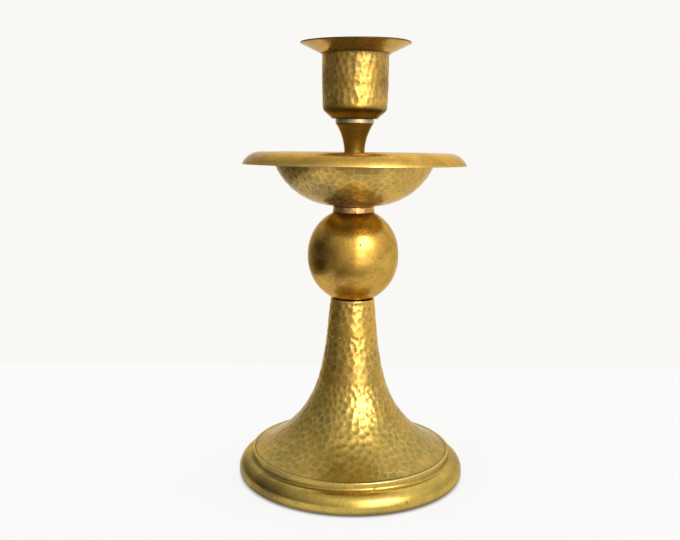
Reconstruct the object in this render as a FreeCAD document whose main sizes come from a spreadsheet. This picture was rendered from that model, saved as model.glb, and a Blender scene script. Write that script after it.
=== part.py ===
"""A hammered brass candlestick: plinth, trumpet skirt, hollow ball, drip pan, neck and candle socket,
drawn together by a threaded rod. Row frame: millimetres, +Z up, origin at the bottom centre."""
import FreeCAD
import Part
import math
import os
import Sketcher

doc = FreeCAD.newDocument("candlestick")

# ---------------------------------------------------------------- driving dimensions
DIMENSIONS = {
    # plinth ring
    "foot_radius": 46.0,         # at its widest line
    "foot_belly": 3.0,           # height of the widest line
    "foot_round": 5.2,           # quarter round above the widest line
    "foot_heel": 2.4,            # small round that turns the edge under
    "foot_hem": 1.2,             # flat width that rests on the table
    "foot_sheet": 1.2,
    "upstand_radius": 40.6,      # upright rim that takes the skirt
    "upstand_top": 11.0,
    "upstand_edge": 0.45,        # rounding of its top edge
    "cove": 1.1,                 # hollow between upstand and quarter round
    # trumpet skirt, from the top down
    "skirt_top": 73.2,
    "skirt_radius": 8.95,        # outside, at the top
    "skirt_taper": 5.4,          # degrees, of the straight part below the top
    "skirt_straight": 13.8,      # length of that part
    "skirt_mid_round": 127.0,    # slow curve below it
    "skirt_mid_angle": 13.8,     # degrees from upright where the slow curve ends
    "skirt_flare": 43.8,         # curve that flares out to the foot
    "skirt_sheet": 1.0,
    "skirt_flange": 1.8,         # upright edge inside the upstand
    "skirt_fit": 0.05,           # gap between skirt edge and upstand
    # ball
    "ball_radius": 18.25,
    "ball_waist": 2.0,           # straight band between the two half spheres
    "ball_sheet": 0.9,
    "rod_clearance": 2.7,        # radius of the holes that the rod passes
    # collar
    "collar_top_radius": 8.15,
    "collar_foot_radius": 8.4,
    "collar_bore": 6.0,
    # drip pan
    "pan_floor": 110.4,          # underside of the pan
    "pan_flat": 7.0,             # radius of its flat middle
    "pan_bowl": 26.65,           # round of the bowl's side
    "pan_sheet": 1.2,
    "pan_radius": 44.4,
    "pan_rim_top": 131.6,
    "pan_rim_round": 8.0,        # the rim's turned-down edge
    "pan_edge_up": 126.6,        # where that edge ends
    "pan_lip": 1.5,              # rounding of the bowl's mouth
    "pan_edge": 0.4,
    # neck
    "neck_top": 142.6,
    "neck_waist": 131.1,         # height where the flare to the socket starts
    "neck_radius": 4.0,
    "neck_flare": 21.3,
    "neck_foot_waist": 120.5,    # height where the flare to the pan starts
    "neck_foot_flare": 12.0,
    "neck_foot_edge": 1.2,
    "neck_chamfer": 0.3,
    "rod_tap_depth": 16.4,
    "screw_tap_depth": 10.6,
    # silvery ring under the socket
    "seat_radius": 7.65,
    "seat_thickness": 1.9,
    # candle socket
    "socket_radius": 13.1,
    "socket_bore": 12.0,
    "socket_floor": 2.5,         # thickness of the cup's floor
    "socket_foot_radius": 8.9,   # where the bevel under the cup starts
    "socket_bevel_top": 3.4,     # height of that bevel
    "socket_bevel_radius": 12.65,
    "socket_belly_top": 14.0,    # above the floor's underside, where the wall is upright
    "socket_inner_bevel": 1.1,
    "socket_corner": 2.0,
    "flange_radius": 21.6,
    "flange_root": 169.3,        # underside of the flange at the cup's wall
    "flange_lip": 0.55,          # thickness of its edge
    "flange_mouth": 169.7,       # where the bore's wall would meet the flange
    "flange_mouth_round": 2.2,
    "flange_root_round": 0.8,
    "total_height": 174.0,
    # fasteners
    "rod_radius": 2.5,
    "rod_tap": 2.55,
    "rod_foot": 55.0,
    "rod_top": 127.6,
    "rod_chamfer": 0.6,
    "nut_flats": 8.0,
    "nut_thickness": 4.0,
    "washer_radius": 4.6,
    "washer_bore": 2.6,
    "washer_thickness": 1.0,
    "washer_split": 1.0,
    "disc_top": 64.5,
    "disc_thickness": 2.0,
    "disc_fit": 0.05,
    "screw_radius": 2.0,
    "screw_hole": 2.1,
    "screw_tap": 2.05,
    "screw_head": 3.7,
    "screw_foot": 133.0,
    "screw_slot": 1.0,
    "screw_slot_depth": 0.9,
    # solder
    "seam_width": 1.1,
    "seam_height": 0.85,
    "seam_lean": 11.0,           # of the side that lies on the plinth
}

sheet = doc.addObject("Spreadsheet::Sheet", "dims")
for row, (alias, number) in enumerate(DIMENSIONS.items(), start=1):
    sheet.set(f"A{row}", alias)
    sheet.set(f"B{row}", str(number))
    sheet.setAlias(f"B{row}", alias)
doc.recompute()


class Size:
    """A size that carries its number and the sheet formula that drives it."""

    def __init__(self, number, formula):
        self.number = number
        self.formula = formula

    def __add__(self, other):
        other = as_size(other)
        return Size(self.number + other.number, f"({self.formula} + {other.formula})")

    def __sub__(self, other):
        other = as_size(other)
        return Size(self.number - other.number, f"({self.formula} - {other.formula})")

    def __mul__(self, other):
        other = as_size(other)
        return Size(self.number * other.number, f"({self.formula} * {other.formula})")

    def __truediv__(self, other):
        other = as_size(other)
        return Size(self.number / other.number, f"({self.formula} / {other.formula})")


def as_size(value):
    """A plain number counts as a size with a constant formula."""
    return value if isinstance(value, Size) else Size(float(value), repr(float(value)))


def cos(angle):
    """Cosine of an angle in degrees."""
    return Size(math.cos(math.radians(angle.number)), f"cos({angle.formula})")


def sin(angle):
    """Sine of an angle in degrees."""
    return Size(math.sin(math.radians(angle.number)), f"sin({angle.formula})")


def leg(hypotenuse, side):
    """The other short side of a right-angled triangle."""
    number = math.sqrt(hypotenuse.number ** 2 - side.number ** 2)
    return Size(number, f"sqrt({hypotenuse.formula}^2 - {side.formula}^2)")


def dim(alias):
    """The driving dimension of that name."""
    return Size(DIMENSIONS[alias], f"dims.{alias}")


ZERO = as_size(0)


# ---------------------------------------------------------------- drawing and features
def new_body(label):
    """A body whose label names its STEP file."""
    body = doc.addObject("PartDesign::Body", label)
    body.Label = label
    return body


def new_sketch(body, name, plane_role, height=None):
    """A sketch on one of the body's own origin planes, raised by a height where one is given."""
    plane = next(item for item in body.Origin.OriginFeatures if item.Role == plane_role)
    sketch = body.newObject("Sketcher::SketchObject", name)
    sketch.AttachmentSupport = [(plane, "")]
    sketch.MapMode = "FlatFace"
    if height is not None:
        sketch.setExpression("AttachmentOffset.Base.z", height.formula)
    return sketch


def pin(sketch, edge, end, across, up):
    """Holds the end of an edge at a place given by two sizes."""
    for kind, axis, size in (("DistanceX", -2, across), ("DistanceY", -1, up)):
        if size.number == 0:
            sketch.addConstraint(Sketcher.Constraint("PointOnObject", edge, end, axis))
            continue
        index = sketch.addConstraint(Sketcher.Constraint(kind, -1, 1, edge, end, size.number))
        sketch.setExpression(f"Constraints[{index}]", size.formula)


def add_arc(sketch, start, end, radius, bulge):
    """An arc between two points; bulge "left" or "right" is the side that it swells to on the way."""
    (x0, y0), (x1, y1) = start, end
    chord = math.hypot(x1 - x0, y1 - y0)
    rise = math.sqrt(max(radius.number ** 2 - chord ** 2 / 4, 0.0))
    side = 1 if bulge == "right" else -1
    centre_x = (x0 + x1) / 2 - side * rise * (y1 - y0) / chord
    centre_y = (y0 + y1) / 2 + side * rise * (x1 - x0) / chord
    from_angle = math.atan2(y0 - centre_y, x0 - centre_x)
    to_angle = math.atan2(y1 - centre_y, x1 - centre_x)
    first, last = (from_angle, to_angle) if bulge == "right" else (to_angle, from_angle)
    circle = Part.Circle(FreeCAD.Vector(centre_x, centre_y, 0), FreeCAD.Vector(0, 0, 1), radius.number)
    edge = sketch.addGeometry(Part.ArcOfCircle(circle, first, last), False)
    index = sketch.addConstraint(Sketcher.Constraint("Radius", edge, radius.number))
    sketch.setExpression(f"Constraints[{index}]", radius.formula)
    return edge, (1, 2) if bulge == "right" else (2, 1)


def draw_outline(sketch, steps):
    """A closed outline. Each step is (across, up) for a straight line to the next point, or
    (across, up, radius, bulge) for an arc to it."""
    ends = []
    for number, step in enumerate(steps):
        following = steps[(number + 1) % len(steps)]
        start = (step[0].number, step[1].number)
        end = (following[0].number, following[1].number)
        if len(step) == 4:
            ends.append(add_arc(sketch, start, end, step[2], step[3]))
        else:
            segment = Part.LineSegment(FreeCAD.Vector(*start, 0), FreeCAD.Vector(*end, 0))
            ends.append((sketch.addGeometry(segment, False), (1, 2)))
    for number, (edge, (near, far)) in enumerate(ends):
        next_edge, (next_near, _) = ends[(number + 1) % len(ends)]
        sketch.addConstraint(Sketcher.Constraint("Coincident", edge, far, next_edge, next_near))
        pin(sketch, edge, near, steps[number][0], steps[number][1])


def revolve(body, name, steps):
    """Turns an outline in the XZ plane once round the upright axis."""
    sketch = new_sketch(body, f"{name}_outline", "XZ_Plane")
    draw_outline(sketch, steps)
    turned = body.newObject("PartDesign::Revolution", name)
    turned.Profile = sketch
    turned.ReferenceAxis = (sketch, ["V_Axis"])
    turned.Angle = 360
    sketch.Visibility = False
    doc.recompute()
    return turned


def circle_sketch(body, name, radius, height):
    """A level sketch with one circle round the upright axis."""
    sketch = new_sketch(body, name, "XY_Plane", height)
    circle = Part.Circle(FreeCAD.Vector(0, 0, 0), FreeCAD.Vector(0, 0, 1), radius.number)
    edge = sketch.addGeometry(circle, False)
    sketch.addConstraint(Sketcher.Constraint("Coincident", edge, 3, -1, 1))
    index = sketch.addConstraint(Sketcher.Constraint("Radius", edge, radius.number))
    sketch.setExpression(f"Constraints[{index}]", radius.formula)
    return sketch


def pad(body, name, sketch, length):
    """Raises a sketch by a length."""
    raised = body.newObject("PartDesign::Pad", name)
    raised.Profile = sketch
    raised.setExpression("Length", length.formula)
    doc.recompute()
    return raised


def pocket(body, name, sketch, depth, upwards=False):
    """Cuts a sketch into the body and makes sure that something was cut."""
    before = body.Shape.Volume
    cut = body.newObject("PartDesign::Pocket", name)
    cut.Profile = sketch
    cut.Reversed = upwards
    cut.setExpression("Length", depth.formula)
    doc.recompute()
    if body.Shape.Volume >= before:
        raise RuntimeError(f"{name} cut nothing")
    return cut


def edges_round(shape, radius, height):
    """Names of the circular edges of that radius at that height."""
    names = []
    for number, edge in enumerate(shape.Edges, start=1):
        curve = edge.Curve
        if not isinstance(curve, Part.Circle):
            continue
        level = abs(curve.Center.z - height.number) < 1e-3
        if level and abs(curve.Radius - radius.number) < 1e-3:
            names.append(f"Edge{number}")
    if not names:
        raise RuntimeError(f"no edge of radius {radius.number} at height {height.number}")
    return names


def soften(body, kind, name, places, amount):
    """Rounds (Fillet) or bevels (Chamfer) the round edges at the given (radius, height) places."""
    base = body.Tip
    names = [edge for radius, height in places for edge in edges_round(base.Shape, radius, height)]
    softened = body.newObject(f"PartDesign::{kind}", name)
    softened.Base = (base, names)
    softened.setExpression("Radius" if kind == "Fillet" else "Size", amount.formula)
    doc.recompute()
    return softened


# ---------------------------------------------------------------- shared places
round_centre = dim("foot_radius") - dim("foot_round")
cove_centre = dim("upstand_radius") + dim("cove")
cove_span = dim("foot_round") + dim("cove")
cove_across = cove_centre - round_centre
cove_rise = leg(cove_span, cove_across)
cove_height = dim("foot_belly") + cove_rise
cove_inner = dim("cove") + dim("foot_sheet")
upstand_bore = dim("upstand_radius") - dim("foot_sheet")

skirt_edge = upstand_bore - dim("skirt_fit")
skirt_edge_inside = skirt_edge - dim("skirt_sheet")
skirt_bore = dim("skirt_radius") - dim("skirt_sheet") / cos(dim("skirt_taper"))
skirt_slope = sin(dim("skirt_taper")) / cos(dim("skirt_taper"))
line_end_across = dim("skirt_radius") + dim("skirt_straight") * sin(dim("skirt_taper"))
line_end_up = dim("skirt_top") - dim("skirt_straight") * cos(dim("skirt_taper"))
mid_across = line_end_across + dim("skirt_mid_round") * cos(dim("skirt_taper"))
mid_up = line_end_up + dim("skirt_mid_round") * sin(dim("skirt_taper"))
flare_gain = dim("skirt_mid_round") - dim("skirt_flare")
flare_across = mid_across - flare_gain * cos(dim("skirt_mid_angle"))
flare_up = mid_up - flare_gain * sin(dim("skirt_mid_angle"))

ball_low_centre = dim("skirt_top") + leg(dim("ball_radius"), skirt_bore)
ball_middle = ball_low_centre + dim("ball_waist") / 2
ball_high_centre = ball_low_centre + dim("ball_waist")

pan_inside_floor = dim("pan_floor") + dim("pan_sheet")
pan_centre_up = dim("pan_floor") + dim("pan_bowl")
pan_rim_under = dim("pan_rim_top") - dim("pan_sheet")
pan_bend_drop = dim("pan_edge_up") - (dim("pan_rim_top") - dim("pan_rim_round"))
pan_bend_across = dim("pan_radius") - leg(dim("pan_rim_round"), pan_bend_drop)

socket_base = dim("neck_top") + dim("seat_thickness")
socket_floor_top = socket_base + dim("socket_floor")


# ---------------------------------------------------------------- the pieces
def offset_point(centre_across, centre_up, radius, angle):
    """A point on a round whose centre lies outside the skirt."""
    return centre_across - radius * cos(angle), centre_up - radius * sin(angle)


def make_foot_ring():
    """Spun plinth ring: hem on the table, heel, quarter round, cove, and the skirt's upstand."""
    body = new_body("foot_ring")
    wall = dim("foot_sheet")
    inner_round = dim("foot_round") - wall
    hem_outside = dim("foot_radius") - dim("foot_heel")
    hem_inside = hem_outside - dim("foot_hem")
    joint_across = round_centre + cove_across * dim("foot_round") / cove_span
    joint_up = dim("foot_belly") + cove_rise * dim("foot_round") / cove_span
    inner_across = round_centre + cove_across * inner_round / cove_span
    inner_up = dim("foot_belly") + cove_rise * inner_round / cove_span
    revolve(body, "plinth", [
        (hem_inside, ZERO),
        (hem_outside, ZERO, dim("foot_heel"), "right"),
        (dim("foot_radius"), dim("foot_heel")),
        (dim("foot_radius"), dim("foot_belly"), dim("foot_round"), "right"),
        (joint_across, joint_up, dim("cove"), "left"),
        (dim("upstand_radius"), cove_height),
        (dim("upstand_radius"), dim("upstand_top")),
        (upstand_bore, dim("upstand_top")),
        (upstand_bore, cove_height, cove_inner, "right"),
        (inner_across, inner_up, inner_round, "left"),
        (dim("foot_radius") - wall, dim("foot_belly")),
        (dim("foot_radius") - wall, dim("foot_heel"), dim("foot_heel") - wall, "left"),
        (hem_outside, wall),
        (hem_inside, wall),
    ])
    rims = [(dim("upstand_radius"), dim("upstand_top")), (upstand_bore, dim("upstand_top"))]
    soften(body, "Fillet", "upstand_rounding", rims, dim("upstand_edge"))
    return body


def make_base_skirt():
    """Sheet trumpet: straight taper, slow curve, flare, and an upright edge in the plinth."""
    body = new_body("base_skirt")
    sheet_wall = dim("skirt_sheet")
    taper, mid_angle = dim("skirt_taper"), dim("skirt_mid_angle")
    flare, flare_inside = dim("skirt_flare"), dim("skirt_flare") + sheet_wall
    mid, mid_inside = dim("skirt_mid_round"), dim("skirt_mid_round") + sheet_wall
    edge_up = flare_up - leg(flare, flare_across - skirt_edge)
    edge_inside_up = flare_up - leg(flare_inside, flare_across - skirt_edge_inside)
    flange_foot = edge_up - dim("skirt_flange")
    revolve(body, "trumpet", [
        (skirt_bore, dim("skirt_top")),
        (*offset_point(mid_across, mid_up, mid_inside, taper), mid_inside, "right"),
        (*offset_point(flare_across, flare_up, flare_inside, mid_angle), flare_inside, "right"),
        (skirt_edge_inside, edge_inside_up),
        (skirt_edge_inside, flange_foot),
        (skirt_edge, flange_foot),
        (skirt_edge, edge_up, flare, "left"),
        (*offset_point(flare_across, flare_up, flare, mid_angle), mid, "left"),
        (line_end_across, line_end_up),
        (dim("skirt_radius"), dim("skirt_top")),
    ])
    return body, flange_foot


def make_foot_solder_seam(flange_foot):
    """Bead of solder in the corner under the skirt's upright edge."""
    body = new_body("foot_solder_seam")
    lean = dim("seam_lean")
    slope = sin(lean) / cos(lean)
    touch_across = cove_centre - cove_inner * cos(lean)
    touch_up = cove_height - cove_inner * sin(lean)
    low_up = flange_foot - dim("seam_height")
    high_across = touch_across - (flange_foot - touch_up) * slope
    low_across = touch_across + (touch_up - low_up) * slope
    revolve(body, "bead", [
        (high_across - dim("seam_width"), flange_foot),
        (low_across, low_up),
        (high_across, flange_foot),
    ])
    return body


def make_ball_half(label, centre_up, upwards):
    """Pressed half sphere with half of the straight waist and a hole for the rod at its pole."""
    body = new_body(label)
    sign = 1 if upwards else -1
    outside, inside = dim("ball_radius"), dim("ball_radius") - dim("ball_sheet")
    hole = dim("rod_clearance")
    outer_bulge, inner_bulge = ("right", "left") if upwards else ("left", "right")
    revolve(body, f"{label}_shell", [
        (outside, ball_middle),
        (outside, centre_up, outside, outer_bulge),
        (hole, centre_up + leg(outside, hole) * sign),
        (hole, centre_up + leg(inside, hole) * sign, inside, inner_bulge),
        (inside, centre_up),
        (inside, ball_middle),
    ])
    return body


def make_pan_collar():
    """Ferrule whose lower end is hollowed to sit on the ball."""
    body = new_body("pan_collar")
    bore, ball = dim("collar_bore"), dim("ball_radius")
    revolve(body, "ferrule", [
        (bore, ball_high_centre + leg(ball, bore), ball, "left"),
        (dim("collar_foot_radius"), ball_high_centre + leg(ball, dim("collar_foot_radius"))),
        (dim("collar_top_radius"), dim("pan_floor")),
        (bore, dim("pan_floor")),
    ])
    return body


def make_drip_pan():
    """Spun bowl with a flat rim whose edge is turned down."""
    body = new_body("drip_pan")
    hole, flat = dim("rod_clearance"), dim("pan_flat")
    bowl, bowl_inside = dim("pan_bowl"), dim("pan_bowl") - dim("pan_sheet")
    bend, bend_inside = dim("pan_rim_round"), dim("pan_rim_round") - dim("pan_sheet")
    throat = flat + leg(bowl, pan_centre_up - pan_rim_under)
    mouth = flat + leg(bowl_inside, pan_centre_up - dim("pan_rim_top"))
    edge_inside = pan_bend_across + leg(bend_inside, pan_bend_drop)
    revolve(body, "bowl", [
        (hole, dim("pan_floor")),
        (flat, dim("pan_floor"), bowl, "right"),
        (throat, pan_rim_under),
        (pan_bend_across, pan_rim_under, bend_inside, "left"),
        (edge_inside, dim("pan_edge_up")),
        (dim("pan_radius"), dim("pan_edge_up"), bend, "right"),
        (pan_bend_across, dim("pan_rim_top")),
        (mouth, dim("pan_rim_top"), bowl_inside, "left"),
        (flat, pan_inside_floor),
        (hole, pan_inside_floor),
    ])
    soften(body, "Fillet", "mouth_rounding", [(mouth, dim("pan_rim_top"))], dim("pan_lip"))
    edges = [(dim("pan_radius"), dim("pan_edge_up")), (edge_inside, dim("pan_edge_up"))]
    soften(body, "Fillet", "edge_rounding", edges, dim("pan_edge"))
    return body


def make_neck_stem():
    """Turned neck that flares to the pan and to the socket, tapped at both ends."""
    body = new_body("neck_stem")
    waist = dim("neck_radius")
    foot_up = pan_inside_floor + dim("neck_foot_edge")
    foot_flare, flare = dim("neck_foot_flare"), dim("neck_flare")
    foot_across = waist + foot_flare - leg(foot_flare, dim("neck_foot_waist") - foot_up)
    top_across = waist + flare - leg(flare, dim("neck_top") - dim("neck_waist"))
    revolve(body, "spindle", [
        (ZERO, pan_inside_floor),
        (foot_across, pan_inside_floor),
        (foot_across, foot_up, foot_flare, "left"),
        (waist, dim("neck_foot_waist")),
        (waist, dim("neck_waist"), flare, "left"),
        (top_across, dim("neck_top")),
        (ZERO, dim("neck_top")),
    ])
    rod_hole = circle_sketch(body, "rod_hole", dim("rod_tap"), pan_inside_floor)
    pocket(body, "rod_tapping", rod_hole, dim("rod_tap_depth"), upwards=True)
    screw_hole = circle_sketch(body, "screw_hole", dim("screw_tap"), dim("neck_top"))
    pocket(body, "screw_tapping", screw_hole, dim("screw_tap_depth"))
    soften(body, "Chamfer", "top_bevel", [(top_across, dim("neck_top"))], dim("neck_chamfer"))
    return body


def make_socket_seat_ring():
    """Flat silvery ring between neck and socket."""
    body = new_body("socket_seat_ring")
    disc = circle_sketch(body, "ring_disc", dim("seat_radius"), dim("neck_top"))
    pad(body, "ring", disc, dim("seat_thickness"))
    hole = circle_sketch(body, "ring_hole", dim("screw_hole"), socket_base)
    pocket(body, "ring_bore", hole, dim("seat_thickness"))
    rims = [(dim("seat_radius"), dim("neck_top")), (dim("seat_radius"), socket_base)]
    soften(body, "Chamfer", "ring_bevel", rims, dim("neck_chamfer"))
    return body


def make_candle_socket():
    """Candle cup: countersunk floor, bevelled foot, slightly bellied wall and raised flange."""
    body = new_body("candle_socket")
    bore, wall_outside = dim("socket_bore"), dim("socket_radius")
    bevel_up = socket_base + dim("socket_bevel_top")
    belly_up = socket_base + dim("socket_belly_top")
    rise, swell = belly_up - bevel_up, wall_outside - dim("socket_bevel_radius")
    belly_round = (rise * rise + swell * swell) / (swell * 2)
    sink = dim("screw_head") + dim("disc_fit")
    sink_depth = sink - dim("screw_hole")
    inner_bevel = dim("socket_inner_bevel")
    lip_under = dim("total_height") - dim("flange_lip")
    revolve(body, "cup", [
        (dim("screw_hole"), socket_base),
        (dim("socket_foot_radius"), socket_base),
        (dim("socket_bevel_radius"), bevel_up, belly_round, "right"),
        (wall_outside, belly_up),
        (wall_outside, dim("flange_root")),
        (dim("flange_radius"), lip_under),
        (dim("flange_radius"), dim("total_height")),
        (bore, dim("flange_mouth")),
        (bore, socket_floor_top + inner_bevel),
        (bore - inner_bevel, socket_floor_top),
        (sink, socket_floor_top),
        (dim("screw_hole"), socket_floor_top - sink_depth),
    ])
    soften(body, "Fillet", "mouth_rounding", [(bore, dim("flange_mouth"))], dim("flange_mouth_round"))
    root = [(wall_outside, dim("flange_root"))]
    soften(body, "Fillet", "root_rounding", root, dim("flange_root_round"))
    corner = [(dim("socket_bevel_radius"), bevel_up)]
    soften(body, "Fillet", "corner_rounding", corner, dim("socket_corner"))
    return body


def make_socket_screw():
    """Countersunk slotted screw through the cup's floor into the neck."""
    body = new_body("socket_screw")
    head, shank = dim("screw_head"), dim("screw_radius")
    neck_under_head = socket_floor_top - (head - shank)
    revolve(body, "screw", [
        (ZERO, dim("screw_foot")),
        (shank, dim("screw_foot")),
        (shank, neck_under_head),
        (head, socket_floor_top),
        (ZERO, socket_floor_top),
    ])
    slot = new_sketch(body, "slot_outline", "XY_Plane", socket_floor_top)
    half_width, half_length = dim("screw_slot") / 2, head + dim("screw_slot")
    corners = ((-1, -1), (1, -1), (1, 1), (-1, 1))
    draw_outline(slot, [(half_length * across, half_width * up) for across, up in corners])
    pocket(body, "slot", slot, dim("screw_slot_depth"))
    return body


def make_tie_rod():
    """Rod from the nut in the skirt up into the neck."""
    body = new_body("tie_rod")
    foot = circle_sketch(body, "rod_section", dim("rod_radius"), dim("rod_foot"))
    pad(body, "rod", foot, dim("rod_top") - dim("rod_foot"))
    ends = [(dim("rod_radius"), dim("rod_foot")), (dim("rod_radius"), dim("rod_top"))]
    soften(body, "Chamfer", "rod_bevel", ends, dim("rod_chamfer"))
    return body


def make_clamp_disc():
    """Disc whose edge is tapered to bear on the inside of the skirt."""
    body = new_body("clamp_disc")
    disc_foot = dim("disc_top") - dim("disc_thickness")
    bearing = skirt_bore - dim("disc_fit")
    revolve(body, "disc", [
        (dim("rod_clearance"), disc_foot),
        (bearing + (dim("skirt_top") - disc_foot) * skirt_slope, disc_foot),
        (bearing + (dim("skirt_top") - dim("disc_top")) * skirt_slope, dim("disc_top")),
        (dim("rod_clearance"), dim("disc_top")),
    ])
    return body, disc_foot


def make_spring_washer(washer_top):
    """Split lock washer."""
    body = new_body("spring_washer")
    washer_foot = washer_top - dim("washer_thickness")
    ring = circle_sketch(body, "washer_disc", dim("washer_radius"), washer_foot)
    pad(body, "washer", ring, dim("washer_thickness"))
    hole = circle_sketch(body, "washer_hole", dim("washer_bore"), washer_top)
    pocket(body, "washer_bore_cut", hole, dim("washer_thickness"))
    split = new_sketch(body, "split_outline", "XY_Plane", washer_top)
    half, reach = dim("washer_split") / 2, dim("washer_radius") * 2
    draw_outline(split, [(ZERO, half * -1), (reach, half * -1), (reach, half), (ZERO, half)])
    pocket(body, "split", split, dim("washer_thickness"))
    return body, washer_foot


def make_tie_rod_nut(nut_top):
    """Hexagon nut."""
    body = new_body("tie_rod_nut")
    hexagon = new_sketch(body, "hexagon", "XY_Plane", nut_top - dim("nut_thickness"))
    half_flats = dim("nut_flats") / 2
    half_side = half_flats * math.tan(math.radians(30))
    tip = half_side * 2
    draw_outline(hexagon, [
        (tip, ZERO),
        (half_side, half_flats),
        (half_side * -1, half_flats),
        (tip * -1, ZERO),
        (half_side * -1, half_flats * -1),
        (half_side, half_flats * -1),
    ])
    pad(body, "nut", hexagon, dim("nut_thickness"))
    hole = circle_sketch(body, "nut_hole", dim("rod_tap"), nut_top)
    pocket(body, "nut_tapping", hole, dim("nut_thickness"))
    return body


foot_ring = make_foot_ring()
base_skirt, skirt_flange_foot = make_base_skirt()
clamp_disc, disc_underside = make_clamp_disc()
spring_washer, washer_underside = make_spring_washer(disc_underside)
bodies = [
    foot_ring,
    base_skirt,
    make_foot_solder_seam(skirt_flange_foot),
    clamp_disc,
    spring_washer,
    make_tie_rod_nut(washer_underside),
    make_tie_rod(),
    make_ball_half("ball_lower_half", ball_low_centre, upwards=False),
    make_ball_half("ball_upper_half", ball_high_centre, upwards=True),
    make_pan_collar(),
    make_drip_pan(),
    make_neck_stem(),
    make_socket_seat_ring(),
    make_candle_socket(),
    make_socket_screw(),
]

# ---------------------------------------------------------------- checks and files
doc.recompute()
for item in doc.Objects:
    if "Invalid" in item.State or "Error" in item.State:
        raise RuntimeError(f"{item.Label} did not recompute")

os.makedirs("parts", exist_ok=True)
for body in bodies:
    shape = body.Shape
    if shape.isNull() or not shape.isValid() or len(shape.Solids) != 1:
        raise RuntimeError(f"{body.Label} is not one valid solid")
    shape.exportStep(f"parts/{body.Label}.step")
    box = shape.BoundBox
    print(f"{body.Label}: volume {shape.Volume:.1f}, z {box.ZMin:.2f} to {box.ZMax:.2f}, r {box.XMax:.2f}")
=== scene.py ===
"""Looks of an aged, hammered brass candlestick, built around its CAD frame.

Every visible sheet or turned piece is spun from its cross-section into a fine closed mesh. The hammered
ones are then dented blow by blow. Sizes are in millimetres, in the CAD's own frame, and turn to metres only
where a mesh is written or a texture is scaled.
"""

import logging
import math
from dataclasses import dataclass
from enum import Enum

import bpy
import numpy as np
from mathutils import Matrix, Vector


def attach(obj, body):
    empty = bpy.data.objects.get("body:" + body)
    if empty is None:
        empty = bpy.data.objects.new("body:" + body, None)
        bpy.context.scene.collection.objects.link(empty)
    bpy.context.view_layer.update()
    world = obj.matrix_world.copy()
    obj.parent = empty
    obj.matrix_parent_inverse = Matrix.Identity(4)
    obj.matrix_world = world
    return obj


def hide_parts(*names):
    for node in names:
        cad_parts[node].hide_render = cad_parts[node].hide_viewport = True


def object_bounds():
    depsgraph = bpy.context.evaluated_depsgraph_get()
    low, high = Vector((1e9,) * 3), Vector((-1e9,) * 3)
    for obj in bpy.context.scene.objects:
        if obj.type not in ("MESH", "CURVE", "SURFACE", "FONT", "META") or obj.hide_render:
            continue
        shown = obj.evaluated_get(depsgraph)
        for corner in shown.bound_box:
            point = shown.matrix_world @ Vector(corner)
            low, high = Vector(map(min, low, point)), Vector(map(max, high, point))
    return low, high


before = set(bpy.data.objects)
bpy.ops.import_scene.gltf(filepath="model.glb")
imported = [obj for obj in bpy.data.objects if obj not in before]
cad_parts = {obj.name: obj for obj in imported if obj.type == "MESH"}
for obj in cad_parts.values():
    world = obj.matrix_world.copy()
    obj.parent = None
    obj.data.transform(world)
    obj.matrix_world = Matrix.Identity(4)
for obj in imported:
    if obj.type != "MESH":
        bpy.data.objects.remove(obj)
CAD_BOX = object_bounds()

LOG = logging.getLogger("candlestick")
MM = 0.001
BODY = "root"
Array = np.ndarray
Material = bpy.types.Material
Socket = bpy.types.NodeSocket
Colour = tuple[float, float, float, float]


# ---- colours and nodes
def linear(hex_colour: str) -> Colour:
    """Turns an sRGB hex colour to linear light.

    Args:
        hex_colour: Six hex digits with a leading hash.

    Returns:
        Red, green, blue and an alpha of one.
    """
    channels = [int(hex_colour[start:start + 2], 16) / 255 for start in (1, 3, 5)]
    light = [c / 12.92 if c <= 0.04045 else ((c + 0.055) / 1.055) ** 2.4 for c in channels]
    return (*light, 1.0)


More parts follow.
